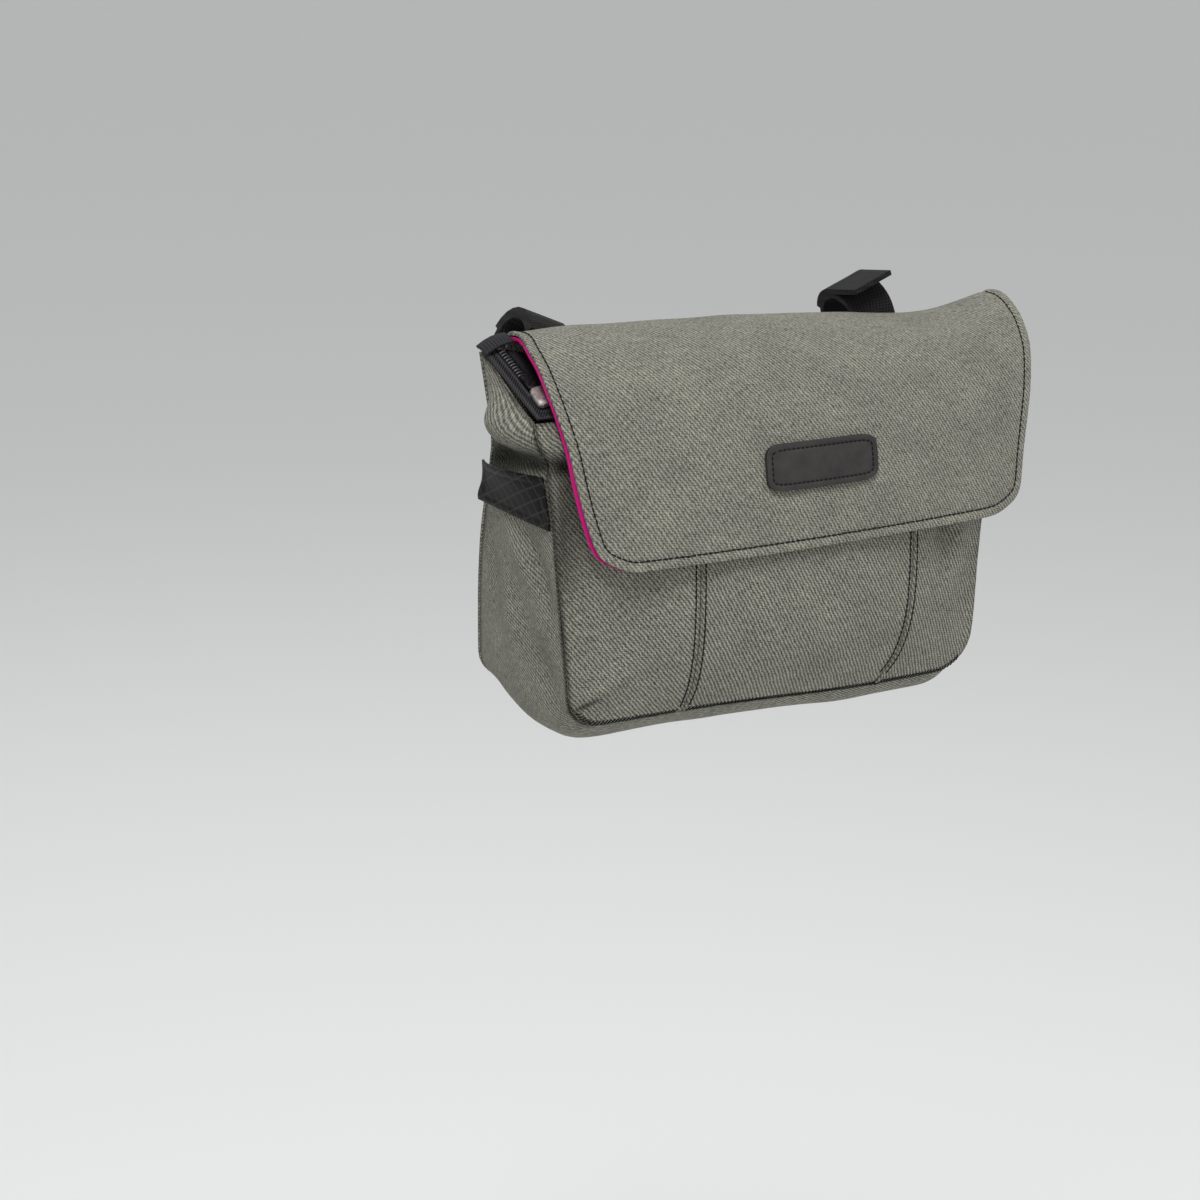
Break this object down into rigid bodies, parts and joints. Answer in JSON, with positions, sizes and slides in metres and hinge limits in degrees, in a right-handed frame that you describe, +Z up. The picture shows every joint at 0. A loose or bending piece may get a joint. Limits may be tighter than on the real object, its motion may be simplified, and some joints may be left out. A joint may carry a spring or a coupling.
{
  "type": "bicycle handlebar bag",
  "caption": "Small messenger-style handlebar bag: twill body with a broad front flap, zipped opening, ripstop bands on the ends and two hook-and-loop bar straps.",
  "frame": {"origin": "on the axis of the handlebar that the two strap loops hold, at the middle of the bag's width", "axes": "+X along the handlebar to the right of someone who looks at the bag's front, -Y out of the front, +Z up"},
  "size_m": [0.2579, 0.1072, 0.1899],
  "materials": {
    "twill": "grey-green heathered twill, matte",
    "lining": "smooth fuchsia nylon lining",
    "zip_tape": "black woven tape",
    "zip_coil": "dark nylon coil, satin",
    "slider_metal": "nickel-plated slider",
    "label": "charcoal embossed label, stitched round its edge",
    "ripstop": "black ripstop nylon with a fine grid",
    "webbing": "black hook-and-loop webbing"
  },
  "bodies": {
    "root": {"front_panel_left": "twill", "front_panel_centre": "twill", "front_panel_right": "twill", "gusset": "twill", "back_panel": "twill", "zip_tape": "zip_tape", "zip_coil": "zip_coil", "zip_end_left": "zip_tape", "zip_slider": "slider_metal", "zip_pull": "slider_metal", "lid": "zip_tape", "flap": "twill", "flap_lining": "lining", "label_patch": "label", "side_band_left": "ripstop", "side_band_right": "ripstop", "bar_strap_left": "webbing", "bar_strap_right": "webbing"}
  },
  "joints": []
}
